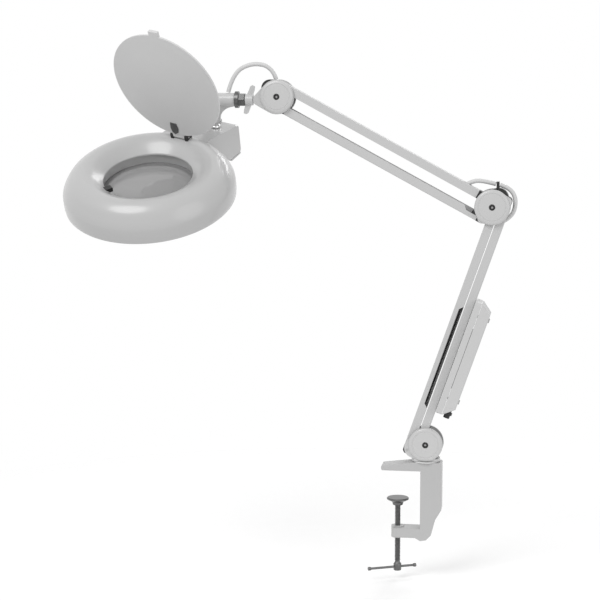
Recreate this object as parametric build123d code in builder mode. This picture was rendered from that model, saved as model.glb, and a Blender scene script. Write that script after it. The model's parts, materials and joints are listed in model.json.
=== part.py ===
from build123d import *
from math import cos, pi, radians, sin, tan
import os

# Bench magnifying lamp on a spring-balanced parallelogram arm, with a desk clamp.
# Millimetres. X runs along the desk, Y away from the viewer, Z up. The arm folds in the plane Y = 0.
# The origin is the centre of the clamp's upper jaw face, which rests on the desk top.
# Each hub keeps its attitude: every arm is two parallel bars on a pair of pivots at each end.

# Driving dimensions.
base_hub_at = Vector(39.0, 0.0, 38.0)
pivot_spacing = 31.0
lower_length = 345.0
lower_lean = 19.2  # degrees from vertical, towards +X
lower_stack = 44.0  # direction of the lower arm's pivot pair, degrees from vertical
upper_length = 316.0
upper_rise = 28.4  # degrees above horizontal, towards -X
base_offset = Vector(-14.9, 0.0, 3.0)  # from the base hub's centre to the middle of its pivots
elbow_lower_offset = Vector(10.3, 0.0, -3.0)
elbow_upper_offset = Vector(-14.0, 0.0, -1.1)
shoulder_offset = Vector(5.2, 0.0, 0.0)
lower_travel = (-1.2, 60.0)  # degrees, counter-clockwise seen from the front
upper_travel = (-26.6, 58.4)

bar_depth = 11.7
bar_width = 18.0
sheet = 1.5
tongue_length = 7.0
bearing_insert = 10.0
pin_radius = 2.25
pin_clearance = 0.05
side_gap = 0.6
plate_thickness = 3.0
cap_thickness = 4.4
cap_radius = {"base": 23.7, "elbow": 24.4, "shoulder": 23.2}
plate_radius = 23.8
core_radius = 23.4
screw_radius = 2.5

stub_drop = 4.0  # the head's roll axis lies this far below the shoulder hub's centre
neck_x = -265.5
head_tilt = 27.9  # the head and neck are rolled this far, their tops towards the viewer
head_pan = 67.9  # direction of the head's box in the head plane, counted from +X
head_drop = 61.0
head_reach = 164.0
head_radius = 116.5
lid_angle = 80.0
lid_radius = 81.7
cable_radius = 3.0

# Worked-out places.
front = Vector(0, -1, 0)
right = Vector(1, 0, 0)


def in_plane(degrees_from_x):
    return Vector(cos(radians(degrees_from_x)), 0, sin(radians(degrees_from_x)))


lower_dir = in_plane(90 - lower_lean)
upper_dir = in_plane(180 - upper_rise)
lower_half = in_plane(90 - lower_stack) * (pivot_spacing / 2)
upper_half = Vector(0, 0, pivot_spacing / 2)
base_mid = base_hub_at + base_offset
elbow_lower_mid = base_mid + lower_dir * lower_length
elbow_hub_at = elbow_lower_mid - elbow_lower_offset
elbow_upper_mid = elbow_hub_at + elbow_upper_offset
shoulder_mid = elbow_upper_mid + upper_dir * upper_length
shoulder_hub_at = shoulder_mid - shoulder_offset
half_bar = bar_width / 2
plate_inner = half_bar + side_gap
plate_outer = plate_inner + plate_thickness
cap_outer = plate_outer + cap_thickness


def front_plane(centre, along=right, y=0.0):
    # a drawing plane that faces the viewer, with its x axis along the given direction
    return Plane(origin=centre + Vector(0, y, 0), x_dir=along, z_dir=front)


def save(part, name):
    part.label = name
    export_step(part, f"parts/{name}.step")


os.makedirs("parts", exist_ok=True)


# Desk clamp.
clamp_half_width = 14.0
jaw_tip_x = -22.7
spine_inner_x = 32.3
spine_outer_x = 61.6
clamp_top = 12.5
arm_top_z = -82.0
arm_bottom_z = -95.5
screw_r = 4.0
boss_radius = 9.0
washer_thickness = 1.5
flange_radius = 20.0
washer_radius = 18.0
spigot_radius = 5.0
spigot_bottom = -6.0
swivel_gap = 0.3
collar_bottom = clamp_top + washer_thickness + swivel_gap
collar_top = 18.0

with BuildPart() as clamp_frame:
    with BuildSketch(front_plane(Vector(0, 0, 0))) as c_outline:
        with BuildLine():
            Polyline(
                (jaw_tip_x, 0),
                (jaw_tip_x, 7.0),
                (22, clamp_top),
                (spine_outer_x, clamp_top),
                (spine_outer_x, -55),
                (53.2, -69.3),
                (47.6, -91.0),
                (40.6, -98.0),
                (32.7, -99.3),
                (26.0, arm_bottom_z),
                (-6.0, arm_bottom_z),
                (-6.0, arm_top_z),
                (spine_inner_x, arm_top_z),
                (spine_inner_x, 0),
                close=True,
            )
        make_face()
        outer_corners = c_outline.vertices().group_by(Axis.X)[-1] + c_outline.vertices().group_by(Axis.X)[0]
        fillet(outer_corners, 2.5)
    extrude(amount=clamp_half_width, both=True)
    with BuildSketch(Plane.XY.offset(arm_bottom_z - 1.5)):
        Circle(boss_radius)
    extrude(amount=arm_top_z - arm_bottom_z + 3)
    long_edges = clamp_frame.edges().filter_by(GeomType.LINE).filter_by(lambda e: e.length > 12)
    soft_edges = [
        e
        for e in long_edges
        if abs(abs(e.center().Y) - clamp_half_width) < 0.01 and e.center().X > jaw_tip_x + 2
    ]
    fillet(soft_edges, 1.5)
    with Locations((0, 0, arm_bottom_z)):
        Cylinder(screw_r + pin_clearance, 40, mode=Mode.SUBTRACT)
    with Locations((base_hub_at.X, 0, spigot_bottom - 0.5)):
        Cylinder(
            spigot_radius + pin_clearance,
            30,
            align=(Align.CENTER, Align.CENTER, Align.MIN),
            mode=Mode.SUBTRACT,
        )
save(clamp_frame.part, "clamp_frame")

with BuildPart() as swivel_washer:
    with BuildSketch(Plane.XY.offset(clamp_top)):
        with Locations((base_hub_at.X, 0)):
            Circle(washer_radius)
            Circle(spigot_radius + 0.3, mode=Mode.SUBTRACT)
    extrude(amount=washer_thickness)
    fillet(swivel_washer.edges().group_by(Axis.Z)[-1].sort_by(SortBy.LENGTH)[-1], 0.5)
save(swivel_washer.part, "swivel_washer")

# The screw's rounded tip turns in the pad, so the pad rises without turning.
pad_radius = 15.5
pad_top = -40.5
pad_rim = 2.5
pad_bottom = -51.0
tip_top = -44.5
screw_bottom = -146.0
tommy_z = -140.5
tommy_radius = 1.7
tommy_angle = 26.0
tommy_length = 72.0
tommy_offset = -8.0
tommy_end_radius = 2.6

with BuildPart() as pressure_pad:
    with BuildSketch(Plane.XZ):
        with BuildLine():
            Polyline(
                (0, pad_top),
                (pad_radius - 1, pad_top),
                (pad_radius, pad_top - 1),
                (pad_radius, pad_top - pad_rim),
                (8.0, pad_bottom + 4),
                (7.0, pad_bottom),
                (0, pad_bottom),
                close=True,
            )
        make_face()
    revolve(axis=Axis.Z)
    with Locations((0, 0, pad_bottom - 1)):
        Cylinder(
            screw_r + pin_clearance,
            tip_top + 0.3 - pad_bottom + 1,
            align=(Align.CENTER, Align.CENTER, Align.MIN),
            mode=Mode.SUBTRACT,
        )
save(pressure_pad.part, "pressure_pad")

with BuildPart() as clamp_screw:
    with BuildSketch(Plane.XY.offset(screw_bottom)):
        Circle(screw_r)
    extrude(amount=tip_top - screw_bottom)
    fillet(clamp_screw.edges().filter_by(GeomType.CIRCLE), 0.8)
    with BuildSketch(Plane.XY.offset(tommy_z - 5)):
        Circle(screw_r + 1.5)
    extrude(amount=10)
    tommy_axis_plane = Plane(
        origin=(0, 0, tommy_z),
        x_dir=(0, 0, 1),
        z_dir=(cos(radians(tommy_angle)), sin(radians(tommy_angle)), 0),
    )
    with BuildSketch(tommy_axis_plane):
        Circle(tommy_radius + pin_clearance)
    extrude(amount=10, both=True, mode=Mode.SUBTRACT)
save(clamp_screw.part, "clamp_screw")

with BuildPart() as tommy_bar:
    with BuildSketch(tommy_axis_plane.offset(tommy_offset)):
        Circle(tommy_radius)
    extrude(amount=tommy_length / 2, both=True)
    for side in (-1, 1):
        with BuildSketch(tommy_axis_plane.offset(tommy_offset + side * (tommy_length / 2 - 2))):
            Circle(tommy_end_radius)
        extrude(amount=2, both=True)
    round_edges = tommy_bar.edges().filter_by(GeomType.CIRCLE)
    fillet(round_edges.filter_by(lambda edge: edge.radius > 2.5), 0.6)
save(tommy_bar.part, "tommy_bar")


# Hubs.
def hub_core(name, hub, bulge_at, bulge_radius, bars, floor=None, clip=None):
    # the black block between a hub's plates: a round block with a bulge, less the room its bars sweep
    sweep_half = bar_depth / 2 + 0.45
    reach = 60
    with BuildPart() as core:
        with BuildSketch(front_plane(hub)):
            Circle(core_radius)
            with Locations(bulge_at):
                Circle(bulge_radius)
            make_hull()
            for pivots, angle, travel in bars:
                for pivot in pivots:
                    here = pivot - hub
                    with Locations((here.X, here.Z)):
                        Circle(sweep_half, mode=Mode.SUBTRACT)
                        for turn in travel:
                            Rectangle(
                                reach,
                                2 * sweep_half,
                                rotation=angle + turn,
                                align=(Align.MIN, Align.CENTER),
                                mode=Mode.SUBTRACT,
                            )
                        middle = angle + (travel[0] + travel[1]) / 2
                        fan = [(0, 0)]
                        for at in (angle + travel[0], middle, angle + travel[1]):
                            fan.append((reach * cos(radians(at)), reach * sin(radians(at))))
                        Polygon(*fan, align=None, mode=Mode.SUBTRACT)
            if floor is not None:
                with Locations((0, floor)):
                    Rectangle(60, 60, align=(Align.CENTER, Align.MAX), mode=Mode.SUBTRACT)
            Circle(screw_radius, mode=Mode.SUBTRACT)
        extrude(amount=plate_inner, both=True)
        if clip is not None:
            with BuildSketch(front_plane(clip)):
                Rectangle(4.0, 7.4)
                with Locations((0, -5)):
                    Rectangle(4.0, 9)
            extrude(amount=4, both=True)
    block = core.part.solids().sort_by(SortBy.VOLUME)[-1]
    save(block, name)


def hub_caps(name, hub, radius):
    # two domed discs, each with a rim groove and a recess for the tension screw
    with BuildPart() as caps:
        for side in (-1, 1):
            face = Plane(origin=hub + Vector(0, side * plate_outer, 0), x_dir=right, z_dir=(0, side, 0))
            with BuildSketch(face):
                Circle(radius)
            extrude(amount=cap_thickness - 1.2)
            with BuildSketch(face.offset(cap_thickness - 1.2)):
                Circle(radius - 2.2)
            extrude(amount=1.2, taper=12)
            with BuildSketch(face):
                Circle(4.2)
            extrude(amount=cap_thickness, mode=Mode.SUBTRACT)
        rims = caps.edges().filter_by(lambda e: e.geom_type == GeomType.CIRCLE and e.radius > radius - 3)
        fillet(rims.group_by(Axis.Y)[0] + rims.group_by(Axis.Y)[-1], 0.5)
        outer = caps.edges().filter_by(lambda e: e.geom_type == GeomType.CIRCLE and e.radius > radius - 0.1)
        fillet([e for e in outer if abs(e.center().Y) > plate_outer + 1], 1.2)
    save(caps.part, name)


def tension_screw(name, hub):
    # a socket screw through the hub, with its nut in the far recess
    head_r = 3.9
    with BuildPart() as screw:
        with BuildSketch(front_plane(hub)):
            Circle(screw_radius)
        extrude(amount=plate_outer + 1.5, both=True)
        with BuildSketch(front_plane(hub, y=-plate_outer)):
            Circle(head_r)
        extrude(amount=3.0)
        with BuildSketch(front_plane(hub, y=-plate_outer - 3.0)):
            RegularPolygon(1.8, 6)
        extrude(amount=-1.8, mode=Mode.SUBTRACT)
        with BuildSketch(front_plane(hub, y=plate_outer)):
            RegularPolygon(head_r, 6)
        extrude(amount=-2.6)
    save(screw.part, name)


def pivot_pins(name, pivots):
    with BuildPart() as pins:
        for pivot in pivots:
            with BuildSketch(front_plane(pivot)):
                Circle(pin_radius)
            extrude(amount=plate_outer, both=True)
    save(pins.part, name)


def bores(hub, pivots):
    # the pivot pins' bores and the tension screw's, as one cutter
    with BuildPart() as cutter:
        for pivot in pivots:
            with BuildSketch(front_plane(pivot)):
                Circle(pin_radius)
            extrude(amount=40, both=True)
        with BuildSketch(front_plane(hub)):
            Circle(screw_radius)
        extrude(amount=40, both=True)
    return cutter.part


base_pivots = [base_mid - lower_half, base_mid + lower_half]
elbow_lower_pivots = [elbow_lower_mid - lower_half, elbow_lower_mid + lower_half]
elbow_upper_pivots = [elbow_upper_mid + upper_half, elbow_upper_mid - upper_half]
shoulder_pivots = [shoulder_mid + upper_half, shoulder_mid - upper_half]

base_bores = bores(base_hub_at, base_pivots)
elbow_bores = bores(elbow_hub_at, elbow_lower_pivots + elbow_upper_pivots)
shoulder_bores = bores(shoulder_hub_at, shoulder_pivots)

# The base yoke is one casting: two cheeks, a flange that turns on the washer, and a spigot in the clamp.
with BuildPart() as base_yoke:
    for side in (-1, 1):
        with BuildSketch(front_plane(base_hub_at, y=side * (plate_inner + plate_thickness / 2))):
            Circle(plate_radius)
            with Locations((-15.4, -4.9)):
                Circle(14.2)
            make_hull()
        extrude(amount=plate_thickness / 2, both=True)
    with BuildSketch(Plane.XY.offset(collar_bottom)):
        with Locations((base_hub_at.X, 0)):
            Circle(flange_radius)
            Rectangle(2 * flange_radius, 2 * plate_outer, mode=Mode.INTERSECT)
    extrude(amount=collar_top - collar_bottom)
    with BuildSketch(Plane.XY.offset(collar_bottom)):
        with Locations((base_hub_at.X, 0)):
            Rectangle(90, 90)
    extrude(amount=-30, mode=Mode.SUBTRACT)
    with BuildSketch(Plane.XY.offset(spigot_bottom)):
        with Locations((base_hub_at.X, 0)):
            Circle(spigot_radius)
    extrude(amount=collar_bottom - spigot_bottom)
    add(base_bores, mode=Mode.SUBTRACT)
save(base_yoke.part, "base_yoke")

with BuildPart() as elbow_plates:
    for side in (-1, 1):
        with BuildSketch(front_plane(elbow_hub_at, y=side * (plate_inner + plate_thickness / 2))):
            Circle(plate_radius)
            for pivot in (elbow_lower_pivots[1], elbow_upper_pivots[1]):
                here = pivot - elbow_hub_at
                with Locations((here.X, here.Z)):
                    Circle(5.4)
            make_hull()
        extrude(amount=plate_thickness / 2, both=True)
    add(elbow_bores, mode=Mode.SUBTRACT)
save(elbow_plates.part, "elbow_plates")

hub_core(
    "base_core",
    base_hub_at,
    (-9.4, -11.7),
    12.0,
    [(base_pivots, 90 - lower_lean, lower_travel)],
    floor=collar_top - base_hub_at.Z + 0.3,
)
hub_core(
    "elbow_core",
    elbow_hub_at,
    (8.0, 11.9),
    14.0,
    [
        (elbow_lower_pivots, 270 - lower_lean, lower_travel),
        (elbow_upper_pivots, 180 - upper_rise, upper_travel),
    ],
    clip=Vector(134.4, 0, 400.6),
)
hub_core(
    "shoulder_core",
    shoulder_hub_at,
    (-10.0, 11.9),
    12.0,
    [(shoulder_pivots, -upper_rise, upper_travel)],
)
for place, hub in (("base", base_hub_at), ("elbow", elbow_hub_at), ("shoulder", shoulder_hub_at)):
    hub_caps(f"{place}_caps", hub, cap_radius[place])
    tension_screw(f"{place}_tension_screw", hub)
pivot_pins("base_pivot_pins", base_pivots)
pivot_pins("elbow_pivot_pins", elbow_lower_pivots + elbow_upper_pivots)
pivot_pins("shoulder_pivot_pins", shoulder_pivots)


# Arm bars.
def channel_bar(name, start, end, web_side, window=None, hole=None):
    # a U channel between two pivots, its web on one side, cut square short of each pivot
    along = (end - start).normalized()
    length = (end - start).length - 2 * tongue_length
    plane = front_plane(start + along * tongue_length, along)
    with BuildPart() as bar:
        with BuildSketch(plane):
            Rectangle(length, bar_depth, align=(Align.MIN, Align.CENTER))
        extrude(amount=half_bar, both=True)
        web_edges = bar.edges().filter_by(lambda e: e.length > length - 1)
        outward = plane.y_dir * web_side
        fillet([e for e in web_edges if (e.center() - plane.origin).dot(outward) > 1], 1.6)
        with BuildSketch(plane):
            with Locations((-1, -web_side * sheet)):
                Rectangle(length + 2, bar_depth, align=(Align.MIN, Align.CENTER))
        extrude(amount=half_bar - sheet, both=True, mode=Mode.SUBTRACT)
        if window is not None:
            low, high = window
            edge = -web_side * bar_depth / 2
            lip = edge + web_side * 5.2
            slant = 6
            with BuildSketch(plane):
                Polygon(
                    (low, edge - web_side),
                    (low + slant, lip),
                    (high - slant, lip),
                    (high, edge - web_side),
                    align=None,
                )
            extrude(amount=half_bar + 1, mode=Mode.SUBTRACT)
        if hole is not None:
            with BuildSketch(Plane(origin=plane.origin + along * hole, x_dir=along, z_dir=outward)):
                Circle(cable_radius + 3)
            extrude(amount=bar_depth, mode=Mode.SUBTRACT)
    save(bar.part, name)


def bar_bearings(name, start, end):
    # black end blocks, each with a rounded tongue that turns on a pivot pin
    along = (end - start).normalized()
    with BuildPart() as blocks:
        for pivot, inward in ((start, along), (end, along * -1)):
            with BuildSketch(front_plane(pivot, inward)):
                Circle(bar_depth / 2)
                Rectangle(tongue_length, bar_depth, align=(Align.MIN, Align.CENTER))
            extrude(amount=half_bar, both=True)
            with BuildSketch(front_plane(pivot + inward * tongue_length, inward)):
                Rectangle(bearing_insert, bar_depth - 2 * sheet, align=(Align.MIN, Align.CENTER))
            extrude(amount=half_bar - sheet, both=True)
            with BuildSketch(front_plane(pivot)):
                Circle(pin_radius + pin_clearance)
            extrude(amount=half_bar + 1, both=True, mode=Mode.SUBTRACT)
    save(blocks.part, name)


def bar_spring(name, start, end, low, high):
    # the balance spring lies inside its bar, hooked on a cross pin at each end
    along = (end - start).normalized()
    side = half_bar - sheet
    with BuildPart() as spring:
        with BuildSketch(Plane(origin=start + along * (low + 6), x_dir=(0, 1, 0), z_dir=along)):
            Circle(3.9)
        extrude(amount=high - low - 12)
        for at, way in ((low, 1), (high, -1)):
            with BuildSketch(front_plane(start + along * at, along)):
                Circle(1.4)
            extrude(amount=side, both=True)
            with BuildSketch(front_plane(start + along * at, along * way)):
                Rectangle(8, 1.6, align=(Align.MIN, Align.CENTER))
            extrude(amount=0.8, both=True)
    save(spring.part, name)


lower_front_ends = (base_pivots[0], elbow_lower_pivots[0])
lower_back_ends = (base_pivots[1], elbow_lower_pivots[1])
upper_top_ends = (elbow_upper_pivots[0], shoulder_pivots[0])
upper_bottom_ends = (elbow_upper_pivots[1], shoulder_pivots[1])
lower_window = (57.0, 210.0)
channel_bar("lower_front_bar", *lower_front_ends, 1, window=lower_window)
channel_bar("lower_back_bar", *lower_back_ends, -1, hole=lower_length - 2 * tongue_length - 19)
channel_bar("upper_top_bar", *upper_top_ends, -1, hole=18.9)
channel_bar("upper_bottom_bar", *upper_bottom_ends, 1, window=(-8.0, 24.0))
for name, ends in (
    ("lower_front_bearings", lower_front_ends),
    ("lower_back_bearings", lower_back_ends),
    ("upper_top_bearings", upper_top_ends),
    ("upper_bottom_bearings", upper_bottom_ends),
):
    bar_bearings(name, *ends)
bar_spring("lower_spring", *lower_front_ends, 40, 290)
bar_spring("upper_spring", *upper_bottom_ends, 38, 250)


# Ballast box on the back bar, drawn along the lower arm.
tray_at = 12.7  # distances to the right of the line midway between the lower bars
seam_at = 21.5
box_face_at = 37.5
box_half_width = 23.0
box_low = 52.0
box_high = 216.0
box_wall = 1.8
arm_side = front_plane(base_mid, lower_dir)
to_the_right = arm_side.y_dir * -1


def across_arm(along, away):
    # a plane square to the back bar's web, looking away from the arm
    middle = base_mid + lower_dir * along + to_the_right * away
    return Plane(origin=middle, x_dir=lower_dir, z_dir=to_the_right)


with BuildPart() as ballast_tray:
    with BuildSketch(across_arm((box_low + box_high) / 2, tray_at)):
        RectangleRounded(box_high - box_low, 2 * box_half_width, 3)
    extrude(amount=seam_at - tray_at)
    with BuildSketch(across_arm((box_low + box_high) / 2, tray_at + box_wall)):
        Rectangle(box_high - box_low - 2 * box_wall, 2 * (box_half_width - box_wall))
    extrude(amount=20, mode=Mode.SUBTRACT)
save(ballast_tray.part, "ballast_tray")

gland_away = 29.0
with BuildPart() as mains_gland:
    for start, length, radius in ((box_low - 6, 5, 4.4), (box_low - 1, 3.5, 6.2), (box_low + 2.5, 9, 4.4)):
        ring_at = base_mid + lower_dir * start + to_the_right * gland_away
        with BuildSketch(Plane(origin=ring_at, x_dir=to_the_right, z_dir=lower_dir)):
            Circle(radius)
            Circle(3.0, mode=Mode.SUBTRACT)
        extrude(amount=length)
save(mains_gland.part, "mains_gland")

cover_screw_alongs = (box_low + 21, box_high - 21)
with BuildPart() as ballast_cover:
    with BuildSketch(arm_side):
        with BuildLine():
            Polyline(
                (box_low, -seam_at - 0.5),
                (box_high, -seam_at - 0.5),
                (box_high - 12, -box_face_at),
                (box_low + 13, -box_face_at),
                close=True,
            )
        make_face()
    extrude(amount=box_half_width, both=True)
    rim_edges = ballast_cover.edges().filter_by(
        lambda e: (e.center() - base_mid).dot(to_the_right) > seam_at + 1
    )
    fillet(rim_edges, 1.6)
    with BuildSketch(arm_side):
        with BuildLine():
            Polyline(
                (box_low + 1.5 * box_wall, -seam_at + 1),
                (box_high - 1.5 * box_wall, -seam_at + 1),
                (box_high - 13.2, -box_face_at + box_wall),
                (box_low + 14.2, -box_face_at + box_wall),
                close=True,
            )
        make_face()
    extrude(amount=box_half_width - box_wall, both=True, mode=Mode.SUBTRACT)
    for along in cover_screw_alongs:
        with BuildSketch(across_arm(along, box_face_at)):
            Circle(1.9)
        extrude(amount=-5, mode=Mode.SUBTRACT)
    add(mains_gland.part, mode=Mode.SUBTRACT)
    bore_at = base_mid + lower_dir * (box_low - 1) + to_the_right * gland_away
    with BuildSketch(Plane(origin=bore_at, x_dir=to_the_right, z_dir=lower_dir)):
        Circle(4.4)
    extrude(amount=12, mode=Mode.SUBTRACT)
save(ballast_cover.part.solids().sort_by(SortBy.VOLUME)[-1], "ballast_cover")

with BuildPart() as ballast_cover_screws:
    for along in cover_screw_alongs:
        with BuildSketch(across_arm(along, tray_at + box_wall)):
            Circle(1.9)
        extrude(amount=box_face_at - tray_at - box_wall)
        with BuildSketch(across_arm(along, box_face_at)):
            Circle(3.6)
        extrude(amount=1.6)
save(ballast_cover_screws.part, "ballast_cover_screws")

with BuildPart() as ballast_choke:
    with BuildSketch(across_arm(132, tray_at + box_wall + 0.1)):
        Rectangle(84, 30)
    extrude(amount=17)
    with BuildSketch(across_arm(132, tray_at + box_wall + 2)):
        RectangleRounded(56, 38, 5)
    extrude(amount=13)
save(ballast_choke.part, "ballast_choke")

# Shoulder fork and the swivel joint beside it.
roll_z = shoulder_hub_at.Z - stub_drop
fork_tip = -34.0
bolt_radius = 4.0


def across_roll(x):
    # a plane square to the roll axis, at a distance from the shoulder hub, looking away from it
    at = Vector(shoulder_hub_at.X + x, 0, roll_z)
    return Plane(origin=at, x_dir=(0, 1, 0), z_dir=(-1, 0, 0))


with BuildPart() as shoulder_fork:
    with BuildSketch(front_plane(shoulder_hub_at)):
        Circle(plate_radius)
        with Locations((fork_tip + 8, -stub_drop)):
            Circle(8)
        make_hull()
    extrude(amount=plate_outer, both=True)
    with BuildSketch(Plane.XY.offset(shoulder_hub_at.Z)):
        with Locations((shoulder_hub_at.X, 0)):
            Polygon(
                (30, plate_outer),
                (-18, plate_outer),
                (-25, 11.4),
                (fork_tip, 7.5),
                (fork_tip, -7.5),
                (-25, -11.4),
                (-18, -plate_outer),
                (30, -plate_outer),
                align=None,
            )
    extrude(amount=40, both=True, mode=Mode.INTERSECT)
    with BuildSketch(Plane.XY.offset(shoulder_hub_at.Z)):
        with Locations((shoulder_hub_at.X - 23.7, 0)):
            Rectangle(80, 2 * plate_inner, align=(Align.MIN, Align.CENTER))
    extrude(amount=40, both=True, mode=Mode.SUBTRACT)
    add(shoulder_bores, mode=Mode.SUBTRACT)
    with BuildSketch(across_roll(-20)):
        Circle(bolt_radius)
    extrude(amount=20, mode=Mode.SUBTRACT)
save(shoulder_fork.part, "shoulder_fork")

bolt_start = -27.0
bolt_length = 66.0
with BuildPart() as stub_bolt:
    with BuildSketch(across_roll(bolt_start)):
        Circle(bolt_radius)
    extrude(amount=bolt_length)
save(stub_bolt.part, "stub_bolt")

wing_reach = 20.0
with BuildPart() as wing_knob:
    with BuildSketch(across_roll(fork_tip - 0.6)):
        Circle(8.0)
    extrude(amount=11.4)
    fillet(wing_knob.edges().filter_by(GeomType.CIRCLE), 1.2)
    hub_middle = Vector(shoulder_hub_at.X + fork_tip - 6.3, 0, roll_z)
    with BuildSketch(front_plane(hub_middle)):
        for side in (-1, 1):
            wing = [(-4.4, 4), (-0.4, 13), (1.6, 18.4), (4.4, wing_reach), (7.6, 18.6), (7.2, 14), (4.4, 4)]
            Polygon(*[(side * x, side * z) for x, z in wing], align=None)
    extrude(amount=2.6, both=True)
    with BuildSketch(across_roll(-20)):
        Circle(bolt_radius + pin_clearance)
    extrude(amount=40, mode=Mode.SUBTRACT)
save(wing_knob.part, "wing_knob")

with BuildPart() as lock_nut:
    with BuildSketch(across_roll(-46.6)):
        RegularPolygon(9.8, 6)
    extrude(amount=8.4)
    with BuildSketch(across_roll(-55.0)):
        Circle(11.6)
    extrude(amount=5)
    with BuildSketch(across_roll(-40)):
        Circle(bolt_radius)
    extrude(amount=30, mode=Mode.SUBTRACT)
save(lock_nut.part, "lock_nut")

# The head's own frame: x towards its switch box, z out of its upper face.
head_up = Vector(0, -sin(radians(head_tilt)), cos(radians(head_tilt)))
head_along = Vector(
    cos(radians(head_pan)),
    sin(radians(head_pan)) * cos(radians(head_tilt)),
    sin(radians(head_pan)) * sin(radians(head_tilt)),
)
neck_at = Vector(neck_x, 0, roll_z)
head_centre = neck_at - head_up * head_drop - head_along * head_reach
in_head = Plane(origin=head_centre, x_dir=head_along, z_dir=head_up).location
seat_z = 27.6
neck_start = -60.8
leg_length = head_drop - seat_z - 0.3
leg_radius = 12.0
barrel_radius = 9.4
pan_pin_radius = 5.0

with BuildPart() as neck_casting:
    with BuildSketch(across_roll(neck_start)):
        Circle(barrel_radius)
    extrude(amount=shoulder_hub_at.X + neck_start - neck_x)
    with Locations(neck_at):
        Sphere(13)
    with BuildSketch(Plane(origin=neck_at, z_dir=head_up * -1)):
        Circle(leg_radius)
    extrude(amount=leg_length)
    with BuildSketch(across_roll(neck_start + 1)):
        Circle(bolt_radius + pin_clearance)
    extrude(amount=neck_start + 1.4 - bolt_start + bolt_length, mode=Mode.SUBTRACT)
    with BuildSketch(Plane(origin=neck_at - head_up * (leg_length - 12), z_dir=head_up * -1)):
        Circle(pan_pin_radius)
    extrude(amount=20, mode=Mode.SUBTRACT)
    with BuildSketch(Plane(origin=neck_at + head_up * 7, z_dir=head_up)):
        Circle(9)
    extrude(amount=5.2)
    for side in (-1, 1):
        with BuildSketch(Plane(origin=neck_at + head_up * 9, x_dir=right, z_dir=head_up)):
            with Locations((-1.5, side * 4.8)):
                Circle(1.5)
        extrude(amount=5, mode=Mode.SUBTRACT)
save(neck_casting.part, "neck_casting")

with BuildPart() as neck_screws:
    for side in (-1, 1):
        with BuildSketch(Plane(origin=neck_at + head_up * 9, x_dir=right, z_dir=head_up)):
            with Locations((-1.5, side * 4.8)):
                Circle(1.5)
        extrude(amount=4)
        with BuildSketch(Plane(origin=neck_at + head_up * 13, x_dir=right, z_dir=head_up)):
            with Locations((-1.5, side * 4.8)):
                Circle(2.8)
        extrude(amount=2)
save(neck_screws.part, "neck_screws")

with BuildPart() as pan_pin:
    with BuildSketch(Plane.XY.offset(9)):
        with Locations((head_reach, 0)):
            Circle(pan_pin_radius)
    extrude(amount=head_drop - leg_length + 12 - 9)
    with BuildSketch(Plane.XY.offset(12)):
        with Locations((head_reach, 0)):
            RegularPolygon(8.5, 6)
    extrude(amount=6)
save(in_head * pan_pin.part, "pan_pin")

# Lamp head.
shell = 2.2
opening_radius = 60.0
head_box_half = 36.0
head_box_end = 176.0
switch_z = 1.0

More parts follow.
